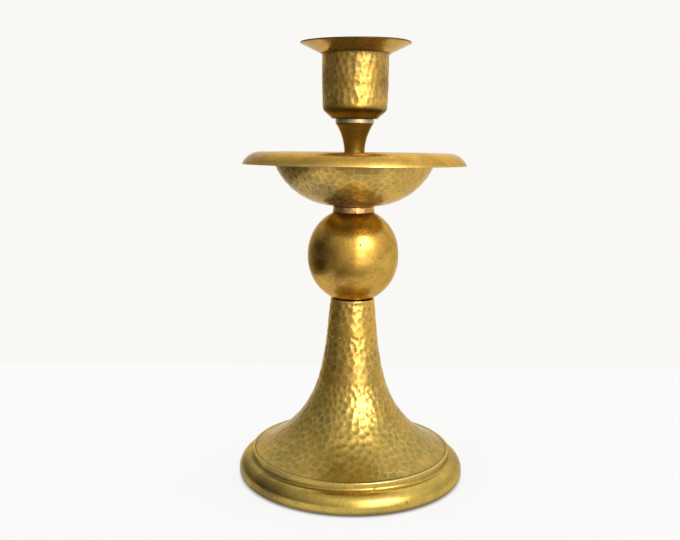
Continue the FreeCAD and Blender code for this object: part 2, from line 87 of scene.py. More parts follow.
class Nodes:
    """A node tree in the making, with the place or direction that its patterns follow."""

    def __init__(self, tree: bpy.types.NodeTree, space: str = "Object") -> None:
        """Empties the tree and takes its coordinates from that space."""
        tree.nodes.clear()
        self.tree = tree
        self.place = self.add("TexCoord").outputs[space]

    def add(self, kind: str, inputs: dict | None = None, **settings) -> bpy.types.Node:
        """Adds a node with its settings and links.

        Args:
            kind: Blender's name of the node type, without its ShaderNode prefix.
            inputs: Input name or number to a value, or to the socket that feeds it.
            **settings: Properties of the node itself.

        Returns:
            The new node.
        """
        node = self.tree.nodes.new("ShaderNode" + kind)
        for name, value in settings.items():
            setattr(node, name, value)
        for key, value in (inputs or {}).items():
            if isinstance(value, Socket):
                self.tree.links.new(value, node.inputs[key])
            else:
                node.inputs[key].default_value = value
        return node

    def attribute(self, name: str) -> Socket:
        """The value that the mesh stores under that name."""
        return self.add("Attribute", attribute_name=name).outputs["Fac"]

    def maths(self, operation: str, *values: Socket | float, clamp: bool = False) -> Socket:
        """Arithmetic on the values, clamped to 0 to 1 or not."""
        node = self.add("Math", dict(enumerate(values)), operation=operation, use_clamp=clamp)
        return node.outputs["Value"]

    def span(self, value: Socket, low: float = 0.0, high: float = 1.0, to_low: float = 0.0,
             to_high: float = 1.0) -> Socket:
        """Carries one range of values to another, and holds values beyond it at its ends.

        Args:
            value: Socket with the value.
            low: Start of its range.
            high: End of its range.
            to_low: What the start turns to.
            to_high: What the end turns to.

        Returns:
            Socket with the new value.
        """
        return self.add("MapRange", {
            "Value": value, "From Min": low, "From Max": high, "To Min": to_low, "To Max": to_high,
        }).outputs["Result"]

    def noise(self, size_mm: float, detail: float, roughness: float = 0.5, distortion: float = 0.0) -> Socket:
        """A cloudy pattern.

        Args:
            size_mm: Size of its largest clouds.
            detail: How many finer layers it has.
            roughness: Weight of each finer layer against the one before.
            distortion: How much it swirls.

        Returns:
            Socket with a value around one half.
        """
        return self.add("TexNoise", {
            "Vector": self.place, "Scale": 1.0 / (size_mm * MM), "Detail": detail, "Roughness": roughness,
            "Distortion": distortion,
        }).outputs["Fac"]

    def mix(self, share: Socket, under: Colour | Socket, over: Colour | Socket) -> Socket:
        """Lays a colour over another, by a share from 0, none, to 1, all."""
        return self.add("Mix", {0: share, 6: under, 7: over}, data_type="RGBA").outputs[2]

    def bump(self, height: Socket, depth_mm: float, strength: float = 1.0) -> Socket:
        """The normal of a surface with that relief."""
        node = self.add("Bump", {"Height": height, "Distance": depth_mm * MM, "Strength": strength})
        return node.outputs["Normal"]

    def surface(self, inputs: dict) -> None:
        """Ends the tree in a surface with these properties."""
        shader = self.add("BsdfPrincipled", inputs)
        self.add("OutputMaterial", {"Surface": shader.outputs["BSDF"]})


def new_material(name: str) -> tuple[Material, Nodes]:
    """A material with an empty node tree.

    Args:
        name: Name of the material.

    Returns:
        The material and its tree.
    """
    material = bpy.data.materials.new(name)
    material.use_nodes = True
    return material, Nodes(material.node_tree)


# ---- finishes
class Grain(Enum):
    """How the last tool left the metal."""

    PLANISHED = "hammered, then rubbed by hand"
    SPUN = "turned or spun, with fine rings round the axis"
    RUBBED = "smooth, with rubbing marks every way"


@dataclass(frozen=True)
class AgedBrass:
    """CuZn37 brass that was polished once and has tarnished for decades under thin wax.

    The tarnish is brown in some places and olive in others, and olive all over in the low zone of a piece,
    so the metal shows cloudy patches. It is a dull film that hides some of the mirror beneath. Dark patches
    are
    deeper brown: partly staining and partly painted dark reflection. Ridges and edges are lighter, partly
    where hands and cloths rub and partly as painted highlight, and lines and joints are darker, partly
    soiling and partly painted shade. The wax gives the highlights a pale core.
    """

    name: str
    grain: Grain
    metal: str = "#CDA042"
    brown: str = "#86622A"
    olive: str = "#8A752C"
    # lighter ridges and edges: rubbed metal and painted highlight
    worn_and_highlight: str = "#E8CB80"
    # dark patches: staining and painted dark reflection
    deep: str = "#4A2C10"
    glancing: str = "#E4CC94"
    # darker lines and joints: soiling and painted shade
    dirt_and_shade: str = "#33240C"
    roughness: float = 0.24
    cloud_mm: float = 9.0
    cloud_share: float = 0.6
    ring_mm: float = 0.35
    film: float = 0.2
    tint: float = 0.13
    edge_shine: float = 0.6
    low_share: float = 0.3
    dulling: float = 0.12
    olive_low_mm: float = -2.0
    olive_high_mm: float = -1.0
    speck_mm: float = 0.9
    hue_mm: float = 16.0
    rub_mm: float = 7.0
    smear_mm: float = 4.5
    smear: float = 0.06
    stain_and_reflection: float = 0.8
    dirt_and_shade_dulling: float = 0.3
    film_gloss: float = 0.3
    wax: float = 0.3
    wax_roughness: float = 0.13

    def build(self) -> Material:
        """Makes the material.

        Returns:
            A metallic material that reads the mesh's crest, strike, grime and stain attributes, which hold
            painted highlight, shade and dark reflection as well as rubbing, soiling and staining.
        """
        material, nodes = new_material(self.name)
        height = nodes.add("SeparateXYZ", {"Vector": nodes.place}).outputs["Z"]
        low = nodes.span(height, self.olive_high_mm * MM, self.olive_low_mm * MM)
        stain_and_reflection = nodes.maths("MULTIPLY", nodes.attribute("stain_and_reflection"), self.stain_and_reflection)
        dirt_and_shade_mask = nodes.attribute("dirt_and_shade_mask")
        share = self._tarnish(nodes, low, stain_and_reflection)
        # tarnish and the darker lines (soiling, painted shade) are duller than rubbed metal; finger marks
        # vary all
        smears = nodes.span(nodes.noise(self.smear_mm, 4.0, 0.6), 0.3, 0.7, self.roughness - self.smear,
                            self.roughness + self.smear)
        dull = nodes.maths("MULTIPLY_ADD", share, self.dulling, smears)
        nodes.surface({
            "Base Color": self._colour(nodes, low, stain_and_reflection, dirt_and_shade_mask, share),
            "Roughness": nodes.maths("MULTIPLY_ADD", dirt_and_shade_mask, self.dirt_and_shade_dulling, dull, clamp=True),
            "Metallic": nodes.span(share, to_low=1.0, to_high=1.0 - self.film),
            "Specular IOR Level": self.film_gloss,
            "Specular Tint": linear(self.glancing),
            "Coat Weight": self.wax,
            "Coat Roughness": self.wax_roughness,
            "Normal": self._relief(nodes),
        })
        return material

    def _tarnish(self, nodes: Nodes, low: Socket, stain_and_reflection: Socket) -> Socket:
        """How thick the tarnish is: clouds, pinhead specks, dark patches (staining and painted dark
        reflection), and a tint of its own in each mark.

        Args:
            nodes: Tree of the material.
            low: From 0 above the olive zone to 1 below it.
            stain_and_reflection: Strength of the dark patches, partly staining and partly painted dark
                reflection.

        Returns:
            Socket with the share of tarnish, from 0 to 1.
        """
        total = nodes.span(nodes.noise(self.cloud_mm, 6.0, 0.66, 0.5), 0.36, 0.66, 0.0, self.cloud_share)
        specks = nodes.span(nodes.noise(self.speck_mm, 3.0, 0.7), 0.35, 0.75, -0.12, 0.3)
        marks = nodes.span(nodes.attribute("strike"), to_low=-self.tint, to_high=self.tint)
        for part in (specks, marks, stain_and_reflection):
            total = nodes.maths("ADD", total, part)
        return nodes.maths("MULTIPLY_ADD", low, self.low_share, total, clamp=True)

    def _colour(self, nodes: Nodes, low: Socket, stain_and_reflection: Socket, dirt_and_shade_mask: Socket, share: Socket) -> Socket:
        """Brown and olive tarnish over metal, ridges lighter from rubbing and painted highlight, and lines
        darker from soiling and painted shade.

        Args:
            nodes: Tree of the material.
            low: From 0 above the olive zone to 1 below it.
            stain_and_reflection: Strength of the dark patches, partly staining and partly painted dark
                reflection.
            dirt_and_shade_mask: Strength of the soiling and of the painted shade in lines and joints.
            share: Share of tarnish.

        Returns:
            Socket with the colour.
        """
        hue = nodes.span(nodes.noise(self.hue_mm, 4.0, 0.6), 0.4, 0.6)
        # the lighter ridges are partly rubbing and partly painted highlight; hands and cloths reach some more
        # than others
        shine = nodes.span(nodes.noise(self.rub_mm, 2.0), 0.4, 0.62, 0.4 * self.edge_shine, self.edge_shine)
        crest = nodes.maths("MULTIPLY", nodes.attribute("crest"), shine)
        olive = nodes.maths("ADD", hue, low, clamp=True)
        film = nodes.mix(olive, linear(self.brown), linear(self.olive))
        # dark patches: staining and painted dark reflection
        stained_and_reflected = nodes.mix(stain_and_reflection, film, linear(self.deep))
        aged = nodes.mix(share, linear(self.metal), stained_and_reflected)
        # lighter ridges and edges: rubbed metal and painted highlight
        rubbed = nodes.mix(crest, aged, linear(self.worn_and_highlight))
        # darker lines and joints: soiling and painted shade
        return nodes.mix(dirt_and_shade_mask, rubbed, linear(self.dirt_and_shade))

    def _relief(self, nodes: Nodes) -> Socket:
        """Fine tool and rubbing marks, far shallower than the hammer marks that the mesh holds.

        Args:
            nodes: Tree of the material; its patterns turn to rings if the piece was spun.

        Returns:
            Socket with the bent normal.
        """
        if self.grain is Grain.SPUN:
            # rings change fast along the cross-section and not at all round the axis
            split = nodes.add("SeparateXYZ", {"Vector": nodes.place}).outputs
            flat = nodes.add("CombineXYZ", {"X": split["X"], "Y": split["Y"]}).outputs["Vector"]
            reach = nodes.add("VectorMath", {0: flat}, operation="LENGTH").outputs["Value"]
            along = nodes.maths("ADD", reach, split["Z"])
            nodes.place = nodes.add("CombineXYZ", {"X": along}).outputs["Vector"]
        mark_mm, depth_mm = {
            Grain.SPUN: (self.ring_mm, 0.0014), Grain.PLANISHED: (0.5, 0.006), Grain.RUBBED: (0.6, 0.003),
        }[self.grain]
        return nodes.bump(nodes.noise(mark_mm, 4.0, 0.65), depth_mm)


@dataclass(frozen=True)
class PlainMetal:
    """A grey metal that isn't brass: soft solder as it set, or zinc-plated steel."""

    name: str
    light: str
    dark: str
    roughness: float
    patch_mm: float
    uneven: float = 0.1

    def build(self) -> Material:
        """Makes the material.

        Returns:
            A metallic material with dull patches.
        """
        material, nodes = new_material(self.name)
        patches = nodes.noise(self.patch_mm, 4.0, 0.6)
        nodes.surface({
            "Base Color": nodes.mix(nodes.span(patches, 0.35, 0.65), linear(self.dark), linear(self.light)),
            "Roughness": nodes.span(patches, to_low=self.roughness + self.uneven,
                                    to_high=self.roughness - self.uneven),
            "Metallic": 1.0,
            "Normal": nodes.bump(patches, 0.02, 0.6),
        })
        return material


# ---- cross-sections
class Skin(Enum):
    """What is done to a stretch of a cross-section."""

    SMOOTH = 0
    HAMMERED = 1


class Swell(Enum):
    """The side that an arc bulges to, seen along the walk."""

    LEFT = -1
    RIGHT = 1


def travel(points: Array) -> Array:
    """Distance walked to each point of a row."""
    return np.concatenate([[0.0], np.cumsum(np.linalg.norm(np.diff(points, axis=0), axis=1))])


class Outline:
    """A closed cross-section, walked with the metal on the left, in (radius, height) millimetres."""

    STEP_MM = 0.8
    STEP_TURN = math.radians(7)
    ROUNDING_POINTS = 7

    def __init__(self, across: float, up: float) -> None:
        """Starts the walk at a point."""
        self.stretches: list[tuple[Array, Skin, float]] = []
        self.here = np.array([across, up], dtype=float)

    def go(self, across: float, up: float, radius: float = 0.0, swell: Swell = Swell.RIGHT,
           soft: float = 0.0, skin: Skin = Skin.SMOOTH, step: float = STEP_MM) -> "Outline":
        """Walks to a point, straight or along an arc.

        Args:
            across: Radius of the point.
            up: Height of the point.
            radius: The arc's own radius, or 0 for a straight line.
            swell: The side that the arc bulges to.
            soft: How far from the corner at the end its rounding starts.
            skin: What is done to the stretch.
            step: Longest stretch between two rows of the mesh.

        Returns:
            The outline, for the next step.
        """
        end = np.array([across, up], dtype=float)
        chord = end - self.here
        length = float(np.linalg.norm(chord))
        if radius:
            rise = math.sqrt(max(radius ** 2 - length ** 2 / 4, 0.0))
            centre = (self.here + end) / 2 + swell.value * rise * np.array([-chord[1], chord[0]]) / length
            first = math.atan2(*(self.here - centre)[::-1])
            turn = 2 * math.asin(min(1.0, length / (2 * radius))) * swell.value
            count = max(2, math.ceil(max(abs(turn) * radius / step, abs(turn) / self.STEP_TURN)))
            angles = first + turn * np.linspace(0.0, 1.0, count + 1)
            points = centre + radius * np.stack([np.cos(angles), np.sin(angles)], axis=1)
            points[0], points[-1] = self.here, end
        else:
            count = max(1, math.ceil(length / step))
            points = self.here + chord * np.linspace(0.0, 1.0, count + 1)[:, None]
        self.stretches.append((points, skin, soft))
        self.here = end
        return self

    def close(self, soft: float = 0.0) -> "Outline":
        """Walks straight back to the start."""
        return self.go(*self.stretches[0][0][0], soft=soft)

    def walk(self) -> tuple[Array, Array]:
        """Joins the stretches and rounds the soft corners.

        Returns:
            The points of the loop, and for each whether it is hammered.
        """
        pieces = [points.copy() for points, _, _ in self.stretches]
        rounds: list[Array] = []
        for number, (_, _, soft) in enumerate(self.stretches):
            following = (number + 1) % len(pieces)
            corner = pieces[number][-1].copy()
            if soft > 0:
                pieces[number] = trim_end(pieces[number], soft)
                pieces[following] = trim_end(pieces[following][::-1], soft)[::-1]
                near, far = pieces[number][-1], pieces[following][0]
                share = np.linspace(0.0, 1.0, self.ROUNDING_POINTS)[:, None]
                rounds.append((1 - share) ** 2 * near + 2 * share * (1 - share) * corner + share ** 2 * far)
            else:
                rounds.append(corner[None, :])
        points, skins = [], []
        for piece, rounding, (_, skin, _) in zip(pieces, rounds, self.stretches):
            points += [piece[1:-1], rounding]
            skins += [np.full(len(piece) - 2, skin is Skin.HAMMERED), np.zeros(len(rounding), dtype=bool)]
        return np.concatenate(points), np.concatenate(skins)


def trim_end(points: Array, length: float) -> Array:
    """Shortens a row of points at its end.

    Args:
        points: The row.
        length: How much to take off, along the row.

    Returns:
        The row, which now ends on the cut.
    """
    travelled = travel(points)
    stop = travelled[-1] - length
    kept = points[travelled < stop - 1e-6]
    cut = np.array([np.interp(stop, travelled, points[:, axis]) for axis in (0, 1)])
    return np.vstack([kept, cut])


# ---- hammer, rubbing and soiling, with painted shade, highlight and reflection
@dataclass(frozen=True)
class HammerMarks:
    """Overlapping blows of a small domed hammer, close together but never twice in one place.

    Each blow leaves a round dish, and where two dishes meet there is a crest. Their spacing, and how
    steep the dishes are at the rim, change evenly from the first hammered row of the walk to the last. Marks
    are `tall` times as high as they are wide, `nearest` and `vary` go by the spacing, `blunt` rounds the
    crests, and `crest_mm` is how wide a part of a crest is made lighter, partly as rubbed metal and partly
    as painted highlight.
    """

    REACH = 2.0

    first_mm: float
    last_mm: float
    first_slope: float
    last_slope: float
    seed: int
    tall: float = 1.0
    tries: float = 9.0
    nearest: float = 0.8
    vary: float = 0.12
    blunt: float = 0.4
    crest_mm: float = 0.16

    def blows(self, rows: Array) -> tuple[Array, Array, Array]:
        """Places the blows at random, none of them too near another.

        Args:
            rows: Radius and height of the hammered rows, along the walk.

        Returns:
            Their positions, their spacings and their slopes.
        """
        rng = np.random.default_rng(self.seed)
        travelled = travel(rows)
        ends = [0.0, travelled[-1]]
        wanted = np.interp(travelled, ends, [self.first_mm, self.last_mm])
        density = rows[:, 0] / wanted ** 2
        room = np.concatenate([[0.0], np.cumsum((density[1:] + density[:-1]) / 2 * np.diff(travelled))])
        tries = int(self.tries * 2 * math.pi * room[-1])
        along = np.interp(rng.uniform(0, room[-1], tries), room, travelled)
        angles = rng.uniform(0, 2 * math.pi, tries)
        radii, heights = (np.interp(along, travelled, rows[:, axis]) for axis in (0, 1))
        spots = np.stack([radii * np.cos(angles), radii * np.sin(angles), heights], axis=1)
        spacings = np.interp(along, travelled, wanted)
        kept: list[int] = []
        taken = np.full((tries, 3), np.inf)
        for number, spot in enumerate(spots * self._squash()):
            gap = ((taken[:len(kept)] - spot) ** 2).sum(axis=1)
            if not kept or gap.min() > (self.nearest * spacings[number]) ** 2:
                taken[len(kept)] = spot
                kept.append(number)
        slopes = np.interp(along[kept], ends, [self.first_slope, self.last_slope])
        return spots[kept], spacings[kept] * rng.uniform(1 - self.vary, 1 + self.vary, len(kept)), slopes

    def _squash(self) -> Array:
        """Scale that makes tall marks as wide as they are high."""
        return np.array([1.0, 1.0, 1.0 / self.tall])

    def strike(self, places: Array, rows: Array) -> tuple[Array, Array, Array]:
        """Dents a grid of places.

        Args:
            places: Positions, one row of the grid for each row of the walk.
            rows: Radius and height of those rows.

        Returns:
            How far each place sinks, how near it is to a crest, and its tint.
        """
        centres, spacings, slopes = self.blows(rows)
        tints = np.random.default_rng(self.seed + 1).uniform(0, 1, len(centres))
        depths = spacings * slopes / 3
        rounds = spacings / (2 * slopes)
        sink, crest, tint = (np.zeros(places.shape[:2]) for _ in range(3))
        reach = self.REACH * max(self.first_mm, self.last_mm) * self.tall
        for number, row in enumerate(places):
            near = np.abs(centres[:, 2] - row[0, 2]) < reach
            gap = (((row[:, None, :] - centres[None, near, :]) * self._squash()) ** 2).sum(axis=2)
            dish = gap / (2 * rounds[near]) - depths[near]
            lowest = dish.min(axis=1)
            above = dish - lowest[:, None]
            blend = self.blunt * float(np.median(depths[near]))
            weight = np.exp(-above / blend)
            total = weight.sum(axis=1)
            sink[number] = np.minimum(lowest - blend * np.log(total), 0.0)
            ridge = np.exp(-above / (2 * slopes[near] * self.crest_mm))
            crest[number] = np.clip(ridge.sum(axis=1) - 1.0, 0.0, 1.0)
            tint[number] = (weight * tints[near]).sum(axis=1) / total
        return sink, crest, tint


@dataclass(frozen=True)
class Unevenness:
    """Slow waves that a hand-held spinning tool leaves in sheet metal, and none where two pieces join."""

    ROUND_AXIS = (2, 3, 5, 7, 9)
    WAVE_MM = (9, 22)
    SLANT = 0.6
    FLATTER = 0.7

    height_mm: float
    seed: int
    joint_up: float = -100.0
    joint_reach: float = 3.0

    def waves(self, angles: Array, loop: Array) -> Array:
        """Adds up a few slow waves.

        Args:
            angles: Angle round the axis of each column.
            loop: Radius and height of each row.

        Returns:
            A height for each row and column, none of them above zero.
        """
        rng = np.random.default_rng(self.seed)
        place = loop[:, 1] + self.SLANT * loop[:, 0]
        total = np.zeros((len(loop), len(angles)))
        for round_axis in self.ROUND_AXIS:
            wave_mm = rng.uniform(*self.WAVE_MM)
            phase = rng.uniform(0, 2 * math.pi, 2)
            turning = np.cos(round_axis * angles + phase[0])[None, :]
            along = np.cos(2 * math.pi * place / wave_mm + phase[1])[:, None]
            total += turning * (0.6 + 0.4 * along) / round_axis ** self.FLATTER
        peak = float(np.abs(total).max())
        share = 1.0 - np.exp(-(((loop[:, 1] - self.joint_up) / self.joint_reach) ** 2))
        return (total / peak - 1.0) * share[:, None] * self.height_mm / 2


@dataclass(frozen=True)
class Trace:
    """A place in the cross-section, all round or on one side, that is darker from soiling and painted shade,
    or lighter from rubbing and painted highlight.
    """

    across: float
    up: float
    reach: float
    strength: float = 0.85
    facing_deg: float = 0.0
    spread_deg: float = 1000.0

    def share(self, loop: Array, angles: Array) -> Array:
        """How strongly the place shows.

        Args:
            loop: Radius and height of each row.
            angles: Angle round the axis of each column, in radians.

        Returns:
            A share for each row and column.
        """
        gap = np.hypot(loop[:, 0] - self.across, loop[:, 1] - self.up)
        turn = np.degrees(np.angle(np.exp(1j * (angles - math.radians(self.facing_deg)))))
        near = self.strength * np.exp(-((gap / self.reach) ** 2))
        return near[:, None] * np.exp(-((turn / self.spread_deg) ** 2))[None, :]


@dataclass(frozen=True)
class Droop:
    """A thin rim that is bent down a little on one side."""

    facing_deg: float
    depth_mm: float
    root: float
    rim: float
    sharpness: float = 2.5

    def sag(self, loop: Array, angles: Array) -> Array:
        """How far each place hangs down.

        Args:
            loop: Radius and height of each row.
            angles: Angle round the axis of each column, in radians.

        Returns:
            A length for each row and column.
        """
        outwards = np.clip((loop[:, 0] - self.root) / (self.rim - self.root), 0.0, 1.0)
        turned = 0.5 + 0.5 * np.cos(angles - math.radians(self.facing_deg))
        return self.depth_mm * outwards[:, None] * (turned ** self.sharpness)[None, :]


@dataclass(frozen=True)
class StainAndReflection:
    """A dark patch at an angle round the axis and a height, partly thicker tarnish and partly painted dark
    reflection.
    """

    angle_deg: float
    up: float
    reach: float
    strength: float = 0.8


@dataclass(frozen=True)
class Pit:
    """A small corrosion pit, at an angle round the axis and a height."""

    STEEP = 1.35

    angle_deg: float
    up: float
    radius_mm: float
    depth_mm: float

    def hollow(self, away: Array) -> Array:
        """Share of the depth at each distance: a flat floor and steep sides."""
        return np.clip(self.STEEP - self.STEEP * (away / self.radius_mm) ** 2, 0.0, 1.0)


class Spun:
    """A piece that was spun or turned: its cross-section carried round the axis, dented, rubbed and soiled,
    with painted shade, highlights and dark reflections.
    """

    SHARP_DEG = 38
    NEAR_MM = 0.6

    name: str
    node: str
    slot: str
    columns: int
    outline: Outline
    marks: HammerMarks | None = None
    waves: Unevenness | None = None
    # darker lines: soiling and painted shade
    dirt_and_shade_lines: tuple[Trace, ...] = ()
    # lighter lines: rubbing and painted highlight
    rubbed: tuple[Trace, ...] = ()
    pits: tuple[Pit, ...] = ()
    # dark patches: staining and painted dark reflection
    stains_and_reflections: tuple[StainAndReflection, ...] = ()
    droop: Droop | None = None
    fade_mm: float = 1.2

    def make(self, material: Material) -> bpy.types.Object:
        """Builds the mesh object and lets it stand for its CAD node.

        Args:
            material: Its finish.

        Returns:
            The object, in metres, linked to the scene.
        """
        loop, hammered = self.outline.walk()
        angles = np.arange(self.columns) * 2 * math.pi / self.columns
        ring = np.stack([np.cos(angles), np.sin(angles)], axis=1)
        places = spread(loop, ring)
        sink = np.zeros(places.shape[:2])
        marks_and_painted_light = {key: np.zeros_like(sink) for key in ("crest", "strike", "dirt_and_shade_mask", "stain_and_reflection")}
        marks_and_painted_light["strike"] += 0.5
        if self.waves:
            sink += self.waves.waves(angles, loop)
        if self.marks:
            travelled = travel(loop)
            for start, stop in runs(hammered):
                rows = slice(start, stop)
                dent, edge, tint = self.marks.strike(places[rows], loop[rows])
                fade = fade_in(travelled[rows], self.fade_mm)[:, None]
                sink[rows] += dent * fade
                marks_and_painted_light["crest"][rows] = edge * fade
                marks_and_painted_light["strike"][rows] = tint
        # painted shade, highlight and dark reflection join soiling, rubbing, pits and staining here
        found = [("dirt_and_shade_mask", trace.share(loop, angles)) for trace in self.dirt_and_shade_lines]
        found += [("crest", trace.share(loop, angles)) for trace in self.rubbed]
        for pit in self.pits:
            hollow = pit.hollow(self._away(places, pit))
            sink -= hollow * pit.depth_mm
            found.append(("dirt_and_shade_mask", hollow))
        for stain_and_reflection in self.stains_and_reflections:
            away = self._away(places, stain_and_reflection) / stain_and_reflection.reach
            found.append(("stain_and_reflection", stain_and_reflection.strength * np.exp(-(away ** 2))))
        for key, share in found:
            marks_and_painted_light[key] = np.maximum(marks_and_painted_light[key], share)
        solid = places + spread(outward_normals(loop), ring) * sink[:, :, None]
        if self.droop:
            solid[:, :, 2] -= self.droop.sag(loop, angles)
        piece = self._mesh(solid * MM)
        for key, values in marks_and_painted_light.items():
            layer = piece.data.attributes.new(key, "FLOAT", "POINT")
            layer.data.foreach_set("value", values.ravel().astype(np.float32))
        piece.data.materials.append(material)
        adopt(piece, self.slot, self.node)
        return piece

    def _away(self, places: Array, spot: Pit | StainAndReflection) -> Array:
        """Distance of each place from the outermost place at a spot's angle and height.

        Args:
            places: Positions, by row and column.
            spot: The pit or stain.

        Returns:
            A distance for each row and column.
        """
        near = np.flatnonzero(np.abs(places[:, 0, 2] - spot.up) < self.NEAR_MM)
        row = int(near[np.argmax(places[near, 0, 0])])
        column = int(round(spot.angle_deg / 360 * self.columns)) % self.columns
        return np.linalg.norm(places - places[row, column], axis=2)

    def _mesh(self, solid: Array) -> bpy.types.Object:
        """Writes a grid that closes both ways as a mesh.

        Args:
            solid: Positions in metres, by row and column.

        Returns:
            The object.
        """
        numbers = np.arange(solid.shape[0] * solid.shape[1]).reshape(solid.shape[:2])
        beside, above = np.roll(numbers, -1, axis=1), np.roll(numbers, -1, axis=0)
        corners = [numbers, beside, np.roll(above, -1, axis=1), above]
        faces = np.stack(corners, axis=2).reshape(-1, 4)
        mesh = bpy.data.meshes.new(self.name)
        mesh.from_pydata(solid.reshape(-1, 3).tolist(), [], faces.tolist())
        mesh.shade_smooth()
        mesh.set_sharp_from_angle(angle=math.radians(self.SHARP_DEG))
        mesh.validate()
        piece = bpy.data.objects.new(self.name, mesh)
        bpy.context.scene.collection.objects.link(piece)
        return piece


def spread(loop: Array, ring: Array) -> Array:
    """Carries (radius, height) pairs round the axis.

    Args:
        loop: The pairs.
        ring: Unit vectors of the columns.

    Returns:
        Vectors by row and column.
    """
    flat = loop[:, None, 0:1] * ring[None, :, :]
    height = np.broadcast_to(loop[:, None, 1:2], (len(loop), len(ring), 1))
    return np.concatenate([flat, height], axis=2)


def outward_normals(loop: Array) -> Array:
    """Unit normals of a closed loop that has its metal on the left."""
    along = np.roll(loop, -1, axis=0) - np.roll(loop, 1, axis=0)
    along /= np.maximum(np.linalg.norm(along, axis=1, keepdims=True), 1e-9)
    return np.stack([along[:, 1], -along[:, 0]], axis=1)


def runs(flags: Array) -> list[tuple[int, int]]:
    """Start and stop of each unbroken run of true values."""
    edges = np.flatnonzero(np.diff(np.concatenate([[0], flags.astype(int), [0]])))
    return list(zip(edges[::2].tolist(), edges[1::2].tolist()))


def fade_in(travelled: Array, reach: float) -> Array:
    """Rises from a quarter at both ends of a run to one further in."""
    gap = np.minimum(travelled - travelled[0], travelled[-1] - travelled)
    share = np.clip(gap / reach, 0.0, 1.0)
    return 0.25 + 0.75 * share * share * (3 - 2 * share)


def adopt(piece: bpy.types.Object, slot: str, *nodes: str) -> None:
    """Lets a piece stand for CAD nodes.

    Args:
        piece: The piece.
        slot: Material slot named in the record; not used.
        *nodes: The nodes that it replaces.
    """
    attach(piece, BODY)
    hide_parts(*nodes)


# ---- the pieces
class FootRing(Spun):
    """Spun plinth: hem, heel, quarter round, cove and the upstand that takes the skirt."""

    name, node, slot, columns = "plinth_ring", "foot_ring", "spun_brass", 420
    radius = 46.0
    belly = 3.0
    quarter = 5.2
    heel = 2.4
    hem = 1.2
    wall = 1.2
    upstand = 40.6
    top = 11.0
    cove = 1.1
    waves = Unevenness(0.09, seed=3)
    # painted shade in the cove and on the front of the upstand's edge, a faint joint line, a painted heel
    # shadow
    dirt_and_shade_lines = (
        Trace(upstand + 0.2, 8.9, 0.7, 0.25),
        Trace(upstand - 1.1, top, 0.3, 0.9, facing_deg=-70.0, spread_deg=24.0),
        Trace(upstand - 1.1, top, 0.12, 0.2),
        Trace(radius - 1.4, 0.2, 0.5, 1.0),
    )
    # lighter lines: painted highlight on the front of the upstand's edge; at the heel rubbing and painted
    # highlight
    rubbed = (
        Trace(upstand - 0.35, top, 0.45, 0.9, facing_deg=-70.0, spread_deg=50.0),
        Trace(radius - 0.6, 0.9, 0.35, 0.8),
    )
    # dark patches: partly staining and partly painted dark reflection
    stains_and_reflections = (StainAndReflection(198.0, 5.0, 14.0, 0.6), StainAndReflection(222.0, 3.0, 12.0, 0.8), StainAndReflection(352.0, 5.0, 10.0, 0.4))
    pits = (Pit(-63.0, 4.6, 0.4, 0.12), Pit(-101.0, 8.3, 0.3, 0.1), Pit(-78.0, 9.4, 0.35, 0.1))
    centre = radius - quarter
    span = quarter + cove
    across = upstand + cove - centre
    rise = math.sqrt(span ** 2 - across ** 2)
    inner_quarter, inner_cove = quarter - wall, cove + wall
    bore = upstand - wall
    hem_outside = radius - heel
    joint = (centre + across * quarter / span, belly + rise * quarter / span)
    inner_joint = (centre + across * inner_quarter / span, belly + rise * inner_quarter / span)
    outline = (
        Outline(hem_outside - hem, 0.0)
        .go(hem_outside, 0.0)
        .go(radius, heel, heel, step=0.4)
        .go(radius, belly, step=0.3)
        .go(*joint, quarter, step=0.35)
        .go(upstand, belly + rise, cove, Swell.LEFT, step=0.2)
        .go(upstand, top, soft=0.4, step=0.4)
        .go(bore, top, soft=0.14, step=0.3)
        .go(bore, belly + rise)
        .go(*inner_joint, inner_cove)
        .go(radius - wall, belly, inner_quarter, Swell.LEFT)
        .go(radius - wall, heel)
        .go(hem_outside, wall, heel - wall, Swell.LEFT)
        .go(hem_outside - hem, wall, soft=0.3)
        .close(soft=0.3)
    )


